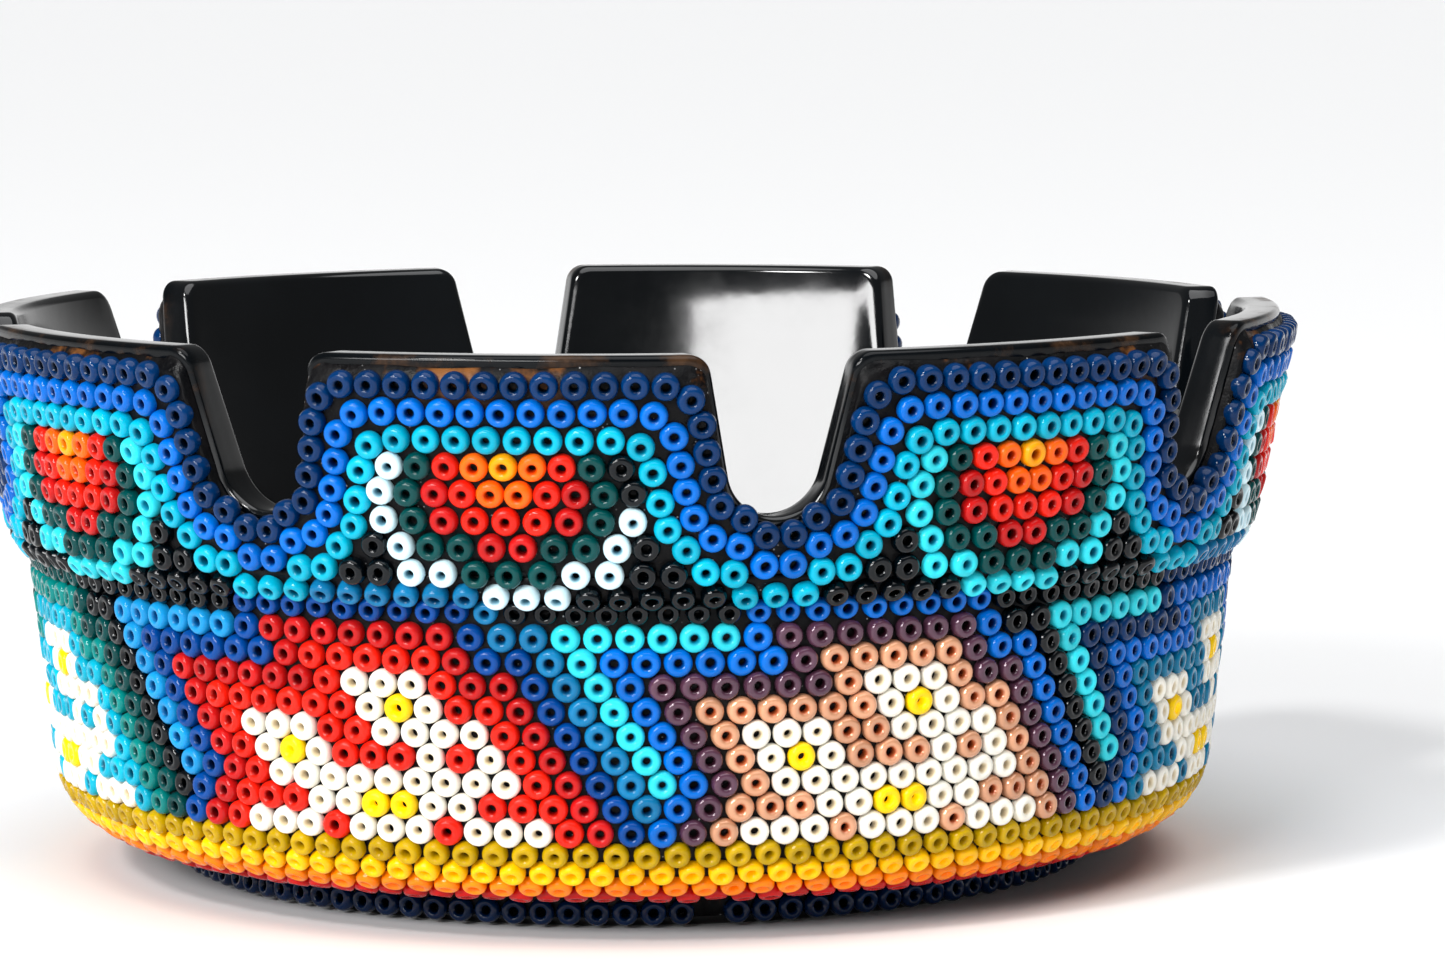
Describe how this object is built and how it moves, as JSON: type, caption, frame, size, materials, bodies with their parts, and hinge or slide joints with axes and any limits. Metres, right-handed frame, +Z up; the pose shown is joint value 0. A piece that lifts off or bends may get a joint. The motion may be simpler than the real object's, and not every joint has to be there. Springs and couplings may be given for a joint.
{
  "type": "beaded ashtray",
  "caption": "Round ashtray with cigarette notches in its rim, skinned outside with dark wax and patterned glass seed beads, hole outward.",
  "frame": {"origin": "centre of the resting face of the foot ring", "axes": "+Z up, a notch faces -Y"},
  "size_m": [0.1014, 0.1014, 0.0425],
  "materials": {
    "dish": "gloss, thumbed",
    "wax": "dark beeswax, slightly sticky",
    "arc_white": "gloss, opaque or pearl seed bead",
    "azure": "gloss, opaque or pearl seed bead",
    "base_orange": "gloss, opaque or pearl seed bead",
    "base_yellow": "gloss, opaque or pearl seed bead",
    "black": "gloss, opaque or pearl seed bead",
    "dark_blue": "gloss, opaque or pearl seed bead",
    "dark_green": "gloss, opaque or pearl seed bead",
    "dark_red": "gloss, opaque or pearl seed bead",
    "deep_red": "gloss, opaque or pearl seed bead",
    "eye_yellow": "gloss, opaque or pearl seed bead",
    "foot_navy": "gloss, opaque or pearl seed bead",
    "light_turquoise": "gloss, opaque or pearl seed bead",
    "navy": "gloss, opaque or pearl seed bead",
    "olive": "gloss, opaque or pearl seed bead",
    "orange": "gloss, opaque or pearl seed bead",
    "peach": "gloss, opaque or pearl seed bead",
    "purple": "gloss, opaque or pearl seed bead",
    "red": "gloss, opaque or pearl seed bead",
    "royal": "gloss, opaque or pearl seed bead",
    "steel": "gloss, opaque or pearl seed bead",
    "teal": "gloss, opaque or pearl seed bead",
    "teal_blue": "gloss, opaque or pearl seed bead",
    "turquoise": "gloss, opaque or pearl seed bead",
    "white": "gloss, opaque or pearl seed bead",
    "yellow": "gloss, opaque or pearl seed bead"
  },
  "bodies": {
    "root": {"arc_light_turquoise": "light_turquoise", "arc_white": "arc_white", "base_dark_red": "deep_red", "base_olive": "olive", "base_orange": "base_orange", "base_yellow": "base_yellow", "blue_border": "royal", "blue_fill": "teal_blue", "blue_outline": "navy", "dish": "dish", "eye_dark_green": "dark_green", "eye_dark_red": "dark_red", "eye_orange": "orange", "eye_red": "red", "eye_yellow": "eye_yellow", "flower_white": "white", "flower_yellow": "yellow", "foot_navy": "foot_navy", "green_border": "teal", "green_fill": "turquoise", "green_outline": "dark_green", "ledge_black": "black", "ledge_steel": "steel", "line_azure": "azure", "line_black": "black", "line_light_turquoise": "light_turquoise", "line_steel": "steel", "peach_border": "purple", "peach_fill": "peach", "peach_outline": "royal", "red_border": "dark_red", "red_fill": "red", "red_outline": "dark_blue", "rim_fill_black": "black", "rim_line_navy": "navy", "rim_line_royal": "royal", "rim_line_turquoise": "turquoise", "wax_foot": "wax", "wax_rim": "wax", "wax_wall": "wax"}
  },
  "joints": []
}
